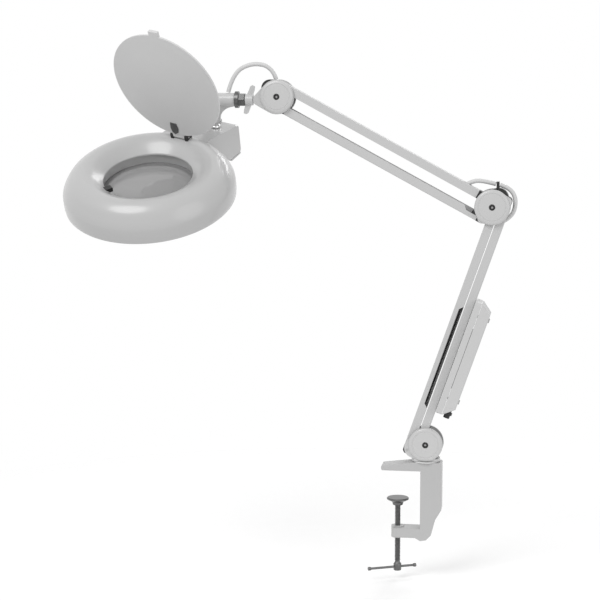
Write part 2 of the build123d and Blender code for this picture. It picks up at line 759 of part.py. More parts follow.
with BuildPart() as head_housing:
    with BuildSketch(Plane.XZ) as shell_section:
        with BuildLine():
            outer = Spline(
                (head_radius, 10), (111.5, 24.5), (103, 35.5), (90, 42.5),
                (78, 40), (67, 33), (opening_radius, 27)
            )
            inner = Spline(
                (head_radius - shell, 9.5),
                (109.4, 23.4),
                (101.5, 33.7),
                (90, 40.2),
                (79, 37.9),
                (68.3, 31.2),
                (opening_radius, 24.8),
            )
            Polyline(outer @ 1, inner @ 1)
            Polyline(
                inner @ 0,
                (head_radius - shell, 0),
                (head_radius - shell - 0.8, -6),
                (head_radius - 1, -6),
                (head_radius, 0),
                outer @ 0,
            )
        make_face()
    revolve(axis=Axis.Z)
    with BuildSketch(Plane.XY.offset(2)):
        Circle(66.5)
        Circle(64, mode=Mode.SUBTRACT)
    extrude(amount=27)
    with BuildSketch(Plane.XZ):
        with BuildLine():
            Polyline(
                (96, 39.5),
                (120, 35),
                (160, 27),
                (171, 24.6),
                (head_box_end, 20),
                (head_box_end, -16),
                (172, -20),
                (150, -20),
                (122, -8),
                (96, -6),
                close=True,
            )
        make_face()
    extrude(amount=head_box_half, both=True, mode=Mode.ADD)
    box_corners = head_housing.edges().filter_by(
        lambda e: e.geom_type == GeomType.LINE and abs(abs(e.center().Y) - head_box_half) < 0.01
    )
    fillet([e for e in box_corners if e.center().X > 118], 2.0)
    with BuildSketch(Plane.XZ):
        with BuildLine():
            Polyline(
                (0, -7),
                (head_radius - shell, -7),
                (head_radius - shell, 9.5),
                (109.4, 23.4),
                (101.5, 33.7),
                (90, 40.2),
                (67.0, 30),
                (66.5, 2),
                (0, 2),
                close=True,
            )
        make_face()
    revolve(axis=Axis.Z, mode=Mode.SUBTRACT)
    with BuildSketch(Plane.XZ):
        with BuildLine():
            Polyline(
                (120, 32.5),
                (160, 24.5),
                (170, 22.2),
                (head_box_end - 2.5, 19),
                (head_box_end - 2.5, -21),
                (151, -21),
                (151, -17.8),
                (122, -5.4),
                (120, -5.4),
                close=True,
            )
        make_face()
    extrude(amount=head_box_half - 2.5, both=True, mode=Mode.SUBTRACT)
    with BuildSketch(Plane.YZ.offset(105)):
        with Locations((0, 4)):
            Circle(7)
    extrude(amount=20, mode=Mode.SUBTRACT)
    with BuildSketch(Plane.XY.offset(22)):
        with Locations((head_reach, 0)):
            Circle(13.4)
    extrude(amount=seat_z - 22)
    with BuildSketch(Plane.XY.offset(seat_z)):
        with Locations((head_reach, 0)):
            Circle(13.4)
    extrude(amount=8, mode=Mode.SUBTRACT)
    with BuildSketch(Plane.XY.offset(18)):
        with Locations((head_reach, 0)):
            Circle(pan_pin_radius + pin_clearance)
    extrude(amount=20, mode=Mode.SUBTRACT)
    with BuildSketch(Plane.YZ.offset(head_box_end - 5)):
        with Locations((0, switch_z)):
            Rectangle(22, 13.4)
    extrude(amount=10, mode=Mode.SUBTRACT)
housing = head_housing.part.solids().sort_by(SortBy.VOLUME)[-1]
save(in_head * housing, "head_housing")

with BuildPart() as box_cover:
    with BuildSketch(Plane.XY.offset(-21.5)):
        with Locations((162.2, 0)):
            Rectangle(21.8, 2 * (head_box_half - 2.7))
    extrude(amount=2.0)
    with BuildSketch(Plane.XY.offset(-22.3)):
        with Locations((162, 0)):
            Rectangle(24, 2 * (head_box_half - 1))
    extrude(amount=2.2)
save(in_head * (box_cover.part - housing), "box_cover")

with BuildPart() as reflector:
    with BuildSketch(Plane.XZ):
        with BuildLine():
            Polyline((67.6, 5), (68.6, 26.5), (79.8, 33), (100.2, 31.6), (110.2, 18.2), (112.8, 4))
        trace(line_width=1)
    revolve(axis=Axis.Z)
save(in_head * reflector.part, "reflector")

tube_mean_radius = 92.0
tube_section = 14.0
tube_z = 14.0
socket_span = 22.0
with BuildPart() as circular_tube:
    with BuildSketch(Plane.XZ):
        with Locations((tube_mean_radius, tube_z)):
            Circle(tube_section)
            Circle(tube_section - 1.2, mode=Mode.SUBTRACT)
    revolve(axis=Axis.Z, revolution_arc=360 - socket_span)
turned_tube = Rot(0, 0, socket_span / 2) * circular_tube.part
save(in_head * turned_tube, "circular_tube")

with BuildPart() as lamp_socket:
    with BuildSketch(Plane.XZ):
        with Locations((tube_mean_radius, tube_z)):
            Circle(tube_section + 0.6)
    revolve(axis=Axis.Z, revolution_arc=socket_span)
turned_socket = Rot(0, 0, -socket_span / 2) * lamp_socket.part
save(in_head * turned_socket, "lamp_socket")

with BuildPart() as tube_clips:
    with BuildSketch(Plane.XZ):
        with Locations((tube_mean_radius, tube_z)):
            Circle(tube_section + 1.2)
            Circle(tube_section, mode=Mode.SUBTRACT)
            Rectangle(40, 40, align=(Align.CENTER, Align.MAX), mode=Mode.SUBTRACT)
        with Locations((tube_mean_radius, tube_z + tube_section + 0.8)):
            Rectangle(6, 2.0, align=(Align.CENTER, Align.MIN))
    revolve(axis=Axis.Z, revolution_arc=5)
clip_group = Compound([Rot(0, 0, turn) * tube_clips.part.solids()[0] for turn in (60, 180, 300)])
save(in_head * clip_group, "tube_clips")

lens_radius = 63.5
with BuildPart() as lens:
    with BuildSketch(Plane.XZ):
        with BuildLine():
            top = ThreePointArc((-lens_radius, 11.6), (0, 16.0), (lens_radius, 11.6))
            bottom = ThreePointArc((lens_radius, 8), (0, 3.2), (-lens_radius, 8))
            Line(top @ 1, bottom @ 0)
            Line(bottom @ 1, top @ 0)
        make_face()
        split(bisect_by=Plane.YZ, keep=Keep.TOP)
    revolve(axis=Axis.Z)
save(in_head * lens.part, "lens")

with BuildPart() as lens_ring:
    with BuildSketch(Plane.XY.offset(4.2)):
        Circle(63.9)
        Circle(58.5, mode=Mode.SUBTRACT)
    extrude(amount=3.0)
save(in_head * lens_ring.part, "lens_ring")

cap_screw_at = (148, -15)
with BuildPart() as box_cap_screw:
    with BuildSketch(Plane.XY.offset(29.0)):
        with Locations(cap_screw_at):
            Circle(6.5)
    extrude(amount=4.2)
    fillet(box_cap_screw.edges().group_by(Axis.Z)[-1], 2.4)
    with BuildSketch(Plane.XY.offset(31.8)):
        with Locations(cap_screw_at):
            Rectangle(14, 1.4, rotation=35)
    extrude(amount=3, mode=Mode.SUBTRACT)
save(in_head * (box_cap_screw.part - housing).solids().sort_by(SortBy.VOLUME)[-1], "box_cap_screw")

# Lid and its hinge.
hinge_x = 83.0
hinge_z = 46.4
lid_gap = 4.0
lid_bottom = 43.2
lid_centre_x = hinge_x - lid_gap - lid_radius
knuckle_half = 9.0

with BuildPart() as hinge_lugs:
    for side in (-1, 1):
        with BuildSketch(Plane.XZ.offset(side * (knuckle_half + 2.4))):
            with Locations((hinge_x, hinge_z)):
                Circle(4.0)
            with Locations((hinge_x + 3, 43)):
                Rectangle(12, 3.6)
            make_hull()
        extrude(amount=2.0, both=True)
    with BuildSketch(Plane.XZ):
        with Locations((hinge_x, hinge_z)):
            Circle(1.5)
    extrude(amount=30, both=True, mode=Mode.SUBTRACT)
save(in_head * (hinge_lugs.part - housing), "hinge_lugs")

with BuildPart() as hinge_pin:
    with BuildSketch(Plane.XZ):
        with Locations((hinge_x, hinge_z)):
            Circle(1.5)
    extrude(amount=knuckle_half + 5.4, both=True)
save(in_head * hinge_pin.part, "hinge_pin")

with BuildPart() as lid:
    with BuildSketch(Plane.XY.offset(lid_bottom)):
        with Locations((lid_centre_x, 0)):
            Circle(lid_radius)
    extrude(amount=3.2)
    fillet(lid.edges().group_by(Axis.Z)[-1], 1.2)
    with BuildSketch(Plane.XY.offset(lid_bottom)):
        with Locations((lid_centre_x - lid_radius - 2, 0)):
            Rectangle(9, 14)
    extrude(amount=4.6)
    with BuildSketch(Plane.XZ):
        with Locations((hinge_x, hinge_z)):
            Circle(3.4)
        with Locations((hinge_x, lid_bottom)):
            Rectangle(12, 3.2, align=(Align.MAX, Align.MIN))
    extrude(amount=knuckle_half, both=True)
    with BuildSketch(Plane.XZ):
        with Locations((hinge_x, hinge_z)):
            Circle(1.5 + pin_clearance)
    extrude(amount=20, both=True, mode=Mode.SUBTRACT)

opened = Pos(hinge_x, 0, hinge_z) * Rot(0, lid_angle, 0) * Pos(-hinge_x, 0, -hinge_z)
save(in_head * opened * lid.part, "lid")

with BuildPart() as lid_catch:
    with BuildSketch(Plane.XY.offset(25.6)):
        with Locations((-58.8, 0)):
            Rectangle(10, 9)
    extrude(amount=5.4)
turned_catch = Rot(0, 0, -30.6) * lid_catch.part
save(in_head * (turned_catch - housing).solids().sort_by(SortBy.VOLUME)[-1], "lid_catch")

# Rocker switch on the box's rear wall.
with BuildPart() as rocker_frame:
    with BuildSketch(Plane.YZ.offset(head_box_end)):
        with Locations((0, switch_z)):
            RectangleRounded(26, 17, 2)
    extrude(amount=1.4)
    with BuildSketch(Plane.YZ.offset(head_box_end - 8)):
        with Locations((0, switch_z)):
            Rectangle(22, 13.4)
    extrude(amount=8)
    with BuildSketch(Plane.YZ.offset(head_box_end - 10)):
        with Locations((0, switch_z)):
            Rectangle(20, 11.8)
    extrude(amount=20, mode=Mode.SUBTRACT)
save(in_head * rocker_frame.part, "rocker_frame")

rocker_x = head_box_end - 3
with BuildPart() as rocker_switch:
    with BuildSketch(Plane.XZ):
        with Locations((rocker_x, switch_z)):
            Polygon((-3, -4), (-3, 4), (3.4, 5), (4.6, 0), (6, -4.6), align=None)
    extrude(amount=9.5, both=True)
save(in_head * rocker_switch.part, "rocker_switch")

# Cables.
shoulder_cable_route = [(-240, 525.3), (-233, 552), (-206, 566), (-178, 560), (-172.6, 543)]
elbow_upper_route = [(90, 399), (99, 405), (115, 405.5), (131.6, 401)]
elbow_lower_route = [(137.2, 400), (149, 396.4), (158.4, 384), (158, 367), (151.2, 355.2), (139.4, 348.4)]


def cable(name, route):
    points = [Vector(x, 0, z) for x, z in route]
    radii = []
    for before, here, after in zip(points, points[1:], points[2:]):
        shorter = min((here - before).length, (after - here).length)
        turn = (here - before).get_angle(after - here)
        radii.append(0.45 * shorter / tan(radians(turn / 2)))
    with BuildPart() as cord:
        with BuildLine() as path:
            FilletPolyline(*points, radius=radii)
        with BuildSketch(Plane(origin=points[0], z_dir=points[1] - points[0])):
            Circle(cable_radius)
        sweep(path=path.wires()[0])
    length = path.wires()[0].length
    print(name, "radii", [round(r, 1) for r in radii], "length", round(length, 1))
    print("volume", round(cord.part.volume, 1), "expected", round(pi * cable_radius**2 * length, 1))
    save(cord.part, name)


cable("shoulder_cable", shoulder_cable_route)
cable("elbow_cable_upper", elbow_upper_route)
cable("elbow_cable_lower", elbow_lower_route)
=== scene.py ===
import json
from math import cos, pi, radians, sin, sqrt

import bmesh
import bpy
from mathutils import Matrix, Vector


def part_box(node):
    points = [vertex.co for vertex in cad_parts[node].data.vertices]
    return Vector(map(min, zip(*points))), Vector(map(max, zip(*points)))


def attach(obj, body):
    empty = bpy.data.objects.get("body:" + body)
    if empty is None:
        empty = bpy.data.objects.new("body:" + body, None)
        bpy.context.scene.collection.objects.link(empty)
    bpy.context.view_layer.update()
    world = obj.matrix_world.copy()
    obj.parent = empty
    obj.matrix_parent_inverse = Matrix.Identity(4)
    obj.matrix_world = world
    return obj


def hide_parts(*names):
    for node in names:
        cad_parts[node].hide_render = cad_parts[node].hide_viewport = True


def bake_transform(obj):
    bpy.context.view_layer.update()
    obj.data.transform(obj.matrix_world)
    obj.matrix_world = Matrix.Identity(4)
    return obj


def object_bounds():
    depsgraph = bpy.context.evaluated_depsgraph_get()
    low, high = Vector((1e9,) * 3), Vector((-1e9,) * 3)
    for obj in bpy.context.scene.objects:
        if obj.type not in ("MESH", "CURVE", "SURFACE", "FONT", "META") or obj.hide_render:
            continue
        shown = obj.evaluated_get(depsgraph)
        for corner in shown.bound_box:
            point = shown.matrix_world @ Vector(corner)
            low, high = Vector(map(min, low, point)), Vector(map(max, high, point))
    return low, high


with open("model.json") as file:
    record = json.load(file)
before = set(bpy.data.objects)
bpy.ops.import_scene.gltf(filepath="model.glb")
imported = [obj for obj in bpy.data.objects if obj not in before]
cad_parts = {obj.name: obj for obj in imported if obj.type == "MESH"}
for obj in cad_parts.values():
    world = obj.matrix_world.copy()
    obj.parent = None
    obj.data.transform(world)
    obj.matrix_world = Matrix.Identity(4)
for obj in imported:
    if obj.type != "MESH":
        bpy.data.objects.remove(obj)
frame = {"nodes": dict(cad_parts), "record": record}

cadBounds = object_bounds()
record = frame["record"]
joints = {j["name"]: j for j in record["behaviour"]["joints"]}
bodyOf = {node: body for body, nodes in record["behaviour"]["bodies"].items() for node in nodes}
slotOf = {s["node"]: s["material_slot"] for s in record["subparts"]}
mm = 0.001


def boxCentre(node):
    low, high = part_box(node)
    return (Vector(low) + Vector(high)) / 2


def boxSize(node):
    low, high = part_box(node)
    return Vector(high) - Vector(low)


def srgb(value):
    v = value / 255
    return v / 12.92 if v <= 0.04045 else ((v + 0.055) / 1.055) ** 2.4


# Camera
cameraSettings = {
    "azimuth": 8.5,
    "elevation": 7.0,
    "distance": 2.5,
    "target": (-0.1393, 0.0, 0.2364),
    "lens": 107.14,
}
az, el = radians(cameraSettings["azimuth"]), radians(cameraSettings["elevation"])
look = Vector((-sin(az) * cos(el), cos(az) * cos(el), -sin(el)))
cameraData = bpy.data.cameras.new("camera")
cameraData.lens = cameraSettings["lens"]
cameraData.sensor_width = 36
cameraData.dof.use_dof = False
cameraData.clip_end = 50
camera = bpy.data.objects.new("camera", cameraData)
bpy.context.collection.objects.link(camera)
camera.location = Vector(cameraSettings["target"]) - look * cameraSettings["distance"]
camera.rotation_euler = look.to_track_quat("-Z", "Y").to_euler()
bpy.context.scene.camera = camera
bpy.context.scene.view_settings.view_transform = "Standard"


# Materials
def makeNode(tree, kind, links=(), **values):
    node = tree.nodes.new(kind)
    for key, value in values.items():
        if hasattr(node, key):
            setattr(node, key, value)
        else:
            node.inputs[key.replace("_", " ")].default_value = value
    for source, target in links:
        tree.links.new(source, node.inputs[target])
    return node


def makeGrainGroup():
    # Soft colour drift, fine speckle, roughness drift and a fine bump, all from object coordinates
    group = bpy.data.node_groups.new("surfaceGrain", "ShaderNodeTree")
    face = group.interface
    for name, kind, default in (
        ("Color", "NodeSocketColor", (0.5, 0.5, 0.5, 1)),
        ("Drift", "NodeSocketFloat", 0.06),
        ("Scale", "NodeSocketFloat", 60.0),
        ("Rough", "NodeSocketFloat", 0.4),
        ("Bump", "NodeSocketFloat", 0.1),
        ("Stretch", "NodeSocketVector", (1, 1, 1)),
    ):
        socket = face.new_socket(name=name, in_out="INPUT", socket_type=kind)
        socket.default_value = default
    face.new_socket(name="Color", in_out="OUTPUT", socket_type="NodeSocketColor")
    face.new_socket(name="Rough", in_out="OUTPUT", socket_type="NodeSocketFloat")
    face.new_socket(name="Normal", in_out="OUTPUT", socket_type="NodeSocketVector")
    given = group.nodes.new("NodeGroupInput")
    result = group.nodes.new("NodeGroupOutput")
    place = makeNode(group, "ShaderNodeTexCoord")
    stretched = makeNode(
        group,
        "ShaderNodeVectorMath",
        [(place.outputs["Object"], 0), (given.outputs["Stretch"], 1)],
        operation="MULTIPLY",
    )
    drift = makeNode(group, "ShaderNodeTexNoise", [(stretched.outputs[0], "Vector")], Scale=9.0, Detail=3.0)
    fine = makeNode(
        group,
        "ShaderNodeTexNoise",
        [(stretched.outputs[0], "Vector"), (given.outputs["Scale"], "Scale")],
        Detail=4.0,
        Roughness=0.6,
    )
    blend = makeNode(
        group, "ShaderNodeMath", [(drift.outputs["Fac"], 0), (fine.outputs["Fac"], 1)], operation="ADD"
    )
    centred = makeNode(group, "ShaderNodeMath", [(blend.outputs[0], 0)], operation="SUBTRACT")
    centred.inputs[1].default_value = 1.0
    scaled = makeNode(
        group, "ShaderNodeMath", [(centred.outputs[0], 0), (given.outputs["Drift"], 1)], operation="MULTIPLY"
    )
    lifted = makeNode(group, "ShaderNodeMath", [(scaled.outputs[0], 0)], operation="ADD")
    lifted.inputs[1].default_value = 1.0
    coloured = makeNode(
        group,
        "ShaderNodeVectorMath",
        [(given.outputs["Color"], 0), (lifted.outputs[0], "Scale")],
        operation="SCALE",
    )
    rough = makeNode(
        group, "ShaderNodeMath", [(given.outputs["Rough"], 0), (lifted.outputs[0], 1)], operation="MULTIPLY"
    )
    bump = makeNode(
        group,
        "ShaderNodeBump",
        [(fine.outputs["Fac"], "Height"), (given.outputs["Bump"], "Strength")],
        Distance=0.0004,
    )
    group.links.new(coloured.outputs[0], result.inputs["Color"])
    group.links.new(rough.outputs[0], result.inputs["Rough"])
    group.links.new(bump.outputs[0], result.inputs["Normal"])
    return group


grainGroup = makeGrainGroup()


def makeMaterial(name, settings):
    material = bpy.data.materials.new(name)
    material.use_nodes = True
    tree = material.node_tree
    shader = tree.nodes["Principled BSDF"]
    grain = tree.nodes.new("ShaderNodeGroup")
    grain.node_tree = grainGroup
    level = settings["grey"]
    colour = level if isinstance(level, tuple) else (level, level, level)
    grain.inputs["Color"].default_value = (*[srgb(c) for c in colour], 1)
    grain.inputs["Drift"].default_value = settings.get("drift", 0.08)
    grain.inputs["Scale"].default_value = settings.get("scale", 500.0)
    grain.inputs["Rough"].default_value = settings["rough"]
    grain.inputs["Bump"].default_value = settings.get("bump", 0.08)
    grain.inputs["Stretch"].default_value = settings.get("stretch", (1, 1, 1))
    tree.links.new(grain.outputs["Color"], shader.inputs["Base Color"])
    tree.links.new(grain.outputs["Rough"], shader.inputs["Roughness"])
    tree.links.new(grain.outputs["Normal"], shader.inputs["Normal"])
    shader.inputs["Metallic"].default_value = settings.get("metal", 0.0)
    shader.inputs["Coat Weight"].default_value = settings.get("coat", 0.0)
    shader.inputs["Coat Roughness"].default_value = 0.12
    shader.inputs["Transmission Weight"].default_value = settings.get("clear", 0.0)
    shader.inputs["IOR"].default_value = settings.get("ior", 1.5)
    return material


finishes = {
    "clamp_enamel": {"grey": 184, "rough": 0.42, "drift": 0.06, "bump": 0.10, "scale": 900.0},
    "hub_enamel": {"grey": 198, "rough": 0.30, "drift": 0.04, "bump": 0.04, "scale": 700.0, "coat": 0.2},
    "arm_enamel": {"grey": 196, "rough": 0.34, "drift": 0.04, "bump": 0.05, "scale": 800.0},
    "ballast_shell": {"grey": 200, "rough": 0.48, "drift": 0.05, "bump": 0.18, "scale": 1400.0},
    "head_shell": {"grey": 187, "rough": 0.28, "drift": 0.03, "bump": 0.02, "scale": 400.0, "coat": 0.35},
    # lid_shell: its grey is lifted above the head shell's to make up for the shade the lid falls in, which
    # is painted light
    "lid_shell": {"grey": 213, "rough": 0.42, "drift": 0.10, "bump": 0.22, "scale": 1500.0},
    "black_nylon": {"grey": 26, "rough": 0.42, "drift": 0.15, "bump": 0.15, "scale": 1200.0},
    "dark_steel": {"grey": 108, "rough": 0.34, "drift": 0.2, "bump": 0.15, "scale": 900.0, "metal": 0.85},
    "black_steel": {"grey": 42, "rough": 0.32, "drift": 0.15, "bump": 0.08, "scale": 900.0, "metal": 0.5},
    "spring_steel": {"grey": 110, "rough": 0.36, "drift": 0.2, "bump": 0.1, "scale": 900.0, "metal": 0.9},
    "pin_steel": {"grey": 178, "rough": 0.28, "drift": 0.12, "bump": 0.08, "scale": 900.0, "metal": 1.0},
    "bright_chrome": {"grey": 222, "rough": 0.1, "drift": 0.04, "bump": 0.02, "scale": 500.0, "metal": 1.0},
    "choke_iron": {"grey": 70, "rough": 0.6, "drift": 0.3, "bump": 0.3, "scale": 700.0, "metal": 0.4},
    # lens_glass: the grey tint and the half transmission are painted shade, standing in for the dark seen
    # through the clear lens
    "lens_glass": {"grey": 172, "rough": 0.05, "drift": 0.01, "bump": 0.0, "clear": 0.5, "ior": 1.45},
    "tube_glass": {"grey": 242, "rough": 0.3, "drift": 0.02, "bump": 0.02, "coat": 0.5},
    "white_plastic": {"grey": 212, "rough": 0.4, "drift": 0.03, "bump": 0.06},
    "cable_pvc": {"grey": 208, "rough": 0.42, "drift": 0.05, "bump": 0.06, "scale": 900.0},
}
materials = {name: makeMaterial(name, settings) for name, settings in finishes.items()}
for node, obj in frame["nodes"].items():
    obj.data.materials.clear()
    obj.data.materials.append(materials[slotOf[node]])
print("materials made")


# Helpers
def finishPiece(name, mesh, slotName, body, replaced=(), bevel=0.0, smooth=35):
    mesh.normal_update()
    bmesh.ops.recalc_face_normals(mesh, faces=mesh.faces)
    data = bpy.data.meshes.new(name)
    mesh.to_mesh(data)
    mesh.free()
    piece = bpy.data.objects.new(name, data)
    bpy.context.collection.objects.link(piece)
    data.materials.append(materials[slotName])
    data.shade_smooth()
    data.set_sharp_from_angle(angle=radians(smooth))
    if bevel:
        rounding = piece.modifiers.new("rounding", "BEVEL")
        rounding.width = bevel
        rounding.segments = 3
        rounding.limit_method = "ANGLE"
        rounding.angle_limit = radians(32)
        rounding.harden_normals = True
    if replaced:
        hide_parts(*replaced)
    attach(piece, body)
    return piece


def axes(origin, x, z):
    # A placement whose local x and z lie along the given directions
    z = Vector(z).normalized()
    x = (Vector(x) - z * Vector(x).dot(z)).normalized()
    y = z.cross(x)
    turn = Matrix((x, y, z)).transposed().to_4x4()
    return Matrix.Translation(Vector(origin)) @ turn


def spun(mesh, profile, place, steps=96, closed=True):
    # Turns a profile of (radius, height) points, in millimetres, about the placement's z axis
    start = [mesh.verts.new(place @ Vector((r * mm, 0, h * mm))) for r, h in profile]
    pairs = list(zip(start, start[1:])) + ([(start[-1], start[0])] if closed else [])
    edges = [mesh.edges.new(pair) for pair in pairs]
    axis = place.to_3x3() @ Vector((0, 0, 1))
    bmesh.ops.spin(
        mesh,
        geom=start + edges,
        cent=place.translation,
        axis=axis,
        angle=2 * pi,
        steps=steps,
        use_merge=True,
        use_duplicate=False,
    )
    bmesh.ops.remove_doubles(mesh, verts=mesh.verts, dist=0.000002)


def plate(mesh, outline, low, high, place):
    # A plate with the given outline in the placement's x-y plane, in millimetres
    bottom = [mesh.verts.new(place @ Vector((x * mm, y * mm, low * mm))) for x, y in outline]
    grown = bmesh.ops.extrude_face_region(mesh, geom=[mesh.faces.new(bottom)])
    up = place.to_3x3() @ Vector((0, 0, (high - low) * mm))
    bmesh.ops.translate(mesh, verts=[v for v in grown["geom"] if isinstance(v, bmesh.types.BMVert)], vec=up)


def between(p, q, r, s, t):
    # A place between q and r, on the smooth line through all four
    straight = (r - p) * t
    square = (2 * p - 5 * q + 4 * r - s) * t * t
    cube = (3 * q - p - 3 * r + s) * t**3
    return 0.5 * (2 * q + straight + square + cube)


def smoothLine(points, count):
    # A smooth line through the given points, with as many steps between each two
    result = []
    padded = [points[0], *points, points[-1]]
    for a, b, c, d in zip(padded, padded[1:], padded[2:], padded[3:]):
        for k in range(count):
            t = k / count
            result.append(tuple(between(p, q, r, s, t) for p, q, r, s in zip(a, b, c, d)))
    result.append(points[-1])
    return result


# Cables
cableSettings = {
    "shoulder_cable": {
        "route": [(-240, 525.3), (-233, 552), (-206, 566), (-178, 560), (-172.6, 543)],
        "bodies": ("neck", "shoulder_hub"),
    },
    "elbow_cable_upper": {
        "route": [(90, 399), (99, 405), (115, 405.5), (131.6, 401)],
        "bodies": ("upper_top", "elbow_hub"),
    },
    "elbow_cable_lower": {
        "route": [(137.2, 400), (149, 396.4), (158.4, 384), (158, 367), (151.2, 355.2), (139.4, 348.4)],
        "bodies": ("elbow_hub", "lower_back"),
    },
}
cableRadius = 3.0 * mm


for node, settings in cableSettings.items():
    points = [Vector((x * mm, 0, z * mm)) for x, z in settings["route"]]
    data = bpy.data.curves.new(node + "Line", "CURVE")
    data.dimensions = "3D"
    data.bevel_depth = cableRadius
    data.bevel_resolution = 6
    data.resolution_u = 24
    data.use_fill_caps = True
    line = data.splines.new("NURBS")
    line.points.add(len(points) - 1)
    for control, point in zip(line.points, points):
        control.co = (*point, 1)
    line.order_u = 3
    line.use_endpoint_u = True
    curve = bpy.data.objects.new(node + "Line", data)
    bpy.context.collection.objects.link(curve)
    bpy.context.view_layer.update()
    shaped = curve.evaluated_get(bpy.context.evaluated_depsgraph_get())
    cable = bpy.data.objects.new(node + "Tube", bpy.data.meshes.new_from_object(shaped))
    bpy.data.objects.remove(curve)
    bpy.context.collection.objects.link(cable)
    cable.data.materials.clear()
    cable.data.materials.append(materials["cable_pvc"])
    cable.data.shade_smooth()
    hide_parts(node)
    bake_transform(cable)
print("cables made")

# Hub caps
hubSettings = {
    "radius": 23.7,
    "depth": 4.4,
    "screwZone": 6,
    "profile": [
        (0, 1.6), (4.3, 1.6), (4.3, 3.6), (4.8, 4.1), (12.0, 4.0), (17.4, 3.7), (18.0, 3.2), (18.8, 3.2),
        (19.3, 3.6), (21.2, 3.3), (22.6, 2.6), (23.5, 1.6), (23.7, 0.6), (23.7, 0.0), (0, 0.0),
    ],
}
for hub in ("base", "elbow", "shoulder"):
    node = hub + "_caps"
    centre = boxCentre(node)
    scale = boxSize(node).x / 2 / (hubSettings["radius"] * mm)
    reach = boxSize(node).y / 2 - hubSettings["depth"] * mm
    profile = [(r * scale if r > hubSettings["screwZone"] else r, h) for r, h in hubSettings["profile"]]
    mesh = bmesh.new()
    for side in (-1, 1):
        place = axes(centre + Vector((0, side * reach, 0)), (1, 0, 0), (0, side, 0))
        spun(mesh, profile, place, closed=False)
    finishPiece(hub + "CapDiscs", mesh, "hub_enamel", bodyOf[node], (node,))
print("hub caps made")

# Head: x runs towards the switch box, z out of the upper face
headSettings = {
    "hingeAlong": 83,
    "hingeUp": 46.4,
    "outer": [
        (116.5, 10), (115.6, 16), (111.5, 24.5), (103, 35.5), (90, 42.5), (78, 40), (67, 33), (60.3, 27.3),
    ],
    "inner": [
        (60.3, 25.2), (68.3, 31.2), (79, 37.9), (90, 40.2), (101.5, 33.7), (109.4, 23.4), (114.3, 9.5),
    ],
    "rim": [(114.3, 0), (113.6, -5.6), (114.2, -6), (115.2, -6), (115.8, -5.2), (116.5, 0)],
    "sleeve": [(64, 2), (66.5, 2), (66.5, 29.5), (64, 27)],
}
headUp = Vector(joints["head_pan"]["axis"])
headSide = Vector(joints["lid_hinge"]["axis"])
headAlong = headSide.cross(headUp)
lidHinge = Vector(joints["lid_hinge"]["pos_m"])
headCentre = lidHinge - headAlong * headSettings["hingeAlong"] * mm - headUp * headSettings["hingeUp"] * mm
headPlace = axes(headCentre, headAlong, headUp)
mesh = bmesh.new()
profile = smoothLine(headSettings["outer"], 8) + smoothLine(headSettings["inner"], 6) + headSettings["rim"]
spun(mesh, profile, headPlace, steps=168)
finishPiece("headShell", mesh, "head_shell", "head", ("head_housing",), smooth=50)
mesh = bmesh.new()
spun(mesh, headSettings["sleeve"], headPlace, steps=128)
finishPiece("headSleeve", mesh, "head_shell", "head")

# The switch box grows out of the shell: its near side follows the shell's own surface
boxSettings = {
    "half": 36.0,
    "halfStrips": 12,
    "sunk": 0.9,
    "rounding": 2.6,
    "outer": [
        (120, 34.6), (135, 31.2), (150.5, 27.6), (163, 26.4), (170.5, 24.8), (174.5, 22.5), (176, 19),
        (176, -15), (174.5, -18.6), (171.5, -20), (150, -20), (122, -8.5),
    ],
    "inner": [
        (115.6, -5.0), (116.2, 0), (116.2, 10), (115.0, 16), (111.3, 24.3), (107.5, 29.8),
        (103, 35), (97, 39),
    ],
    "bossAlong": 164,
    "boss": [(0, 20), (13.4, 20), (13.4, 26.8), (12.8, 27.5), (0, 27.5)],
}
mesh = bmesh.new()
loops = []
halfStrips = boxSettings["halfStrips"]
for k in range(2 * halfStrips + 1):
    b = boxSettings["half"] * (k - halfStrips) / halfStrips
    inner = [(sqrt(r * r - b * b) - boxSettings["sunk"], c) for r, c in boxSettings["inner"]]
    loop = boxSettings["outer"] + inner
    loops.append([mesh.verts.new(headPlace @ Vector((a * mm, b * mm, c * mm))) for a, c in loop])
for one, two in zip(loops, loops[1:]):
    for k in range(len(one)):
        mesh.faces.new((one[k - 1], one[k], two[k], two[k - 1]))
mesh.faces.new(loops[0])
mesh.faces.new(list(reversed(loops[-1])))
outerCount = len(boxSettings["outer"])
rounded = []
for loop in (loops[0], loops[-1]):
    for one, two in zip(loop[: outerCount - 1], loop[1:outerCount]):
        rounded.append(mesh.edges.get((one, two)))
bmesh.ops.bevel(
    mesh,
    geom=rounded,
    offset=boxSettings["rounding"] * mm,
    affect="EDGES",
    segments=5,
    profile=0.5,
    material=-1,
)
bossPlace = axes(headCentre + headAlong * boxSettings["bossAlong"] * mm, headAlong, headUp)
spun(mesh, boxSettings["boss"], bossPlace, steps=64, closed=False)
finishPiece("switchBox", mesh, "head_shell", "head", smooth=40)
print("head made")

# The hinge leaf on the lid's inner face: one thin dark steel sheet, partly a real leaf and partly painted
# shade by the hinge
leafSettings = {
    "lidAngle": 80.0,
    "outline": [(4, -4), (8, 1.5), (15, 3.2), (23, 1.5), (23.5, -8.5), (14, -9.6), (7, -8)],
    "face": -3.2,
    "thick": 0.8,
    "sunk": 0.2,
    "rounding": 0.25,
}
opening = radians(leafSettings["lidAngle"])
lidAlong = headUp * sin(opening) - headAlong * cos(opening)
lidUp = headUp * cos(opening) + headAlong * sin(opening)
leafLow = leafSettings["face"] - leafSettings["thick"]
leafHigh = leafSettings["face"] + leafSettings["sunk"]
mesh = bmesh.new()
plate(mesh, leafSettings["outline"], leafLow, leafHigh, axes(lidHinge, lidAlong, lidUp))
finishPiece("lidLeafAndShade", mesh, "dark_steel", "lid", bevel=leafSettings["rounding"] * mm)

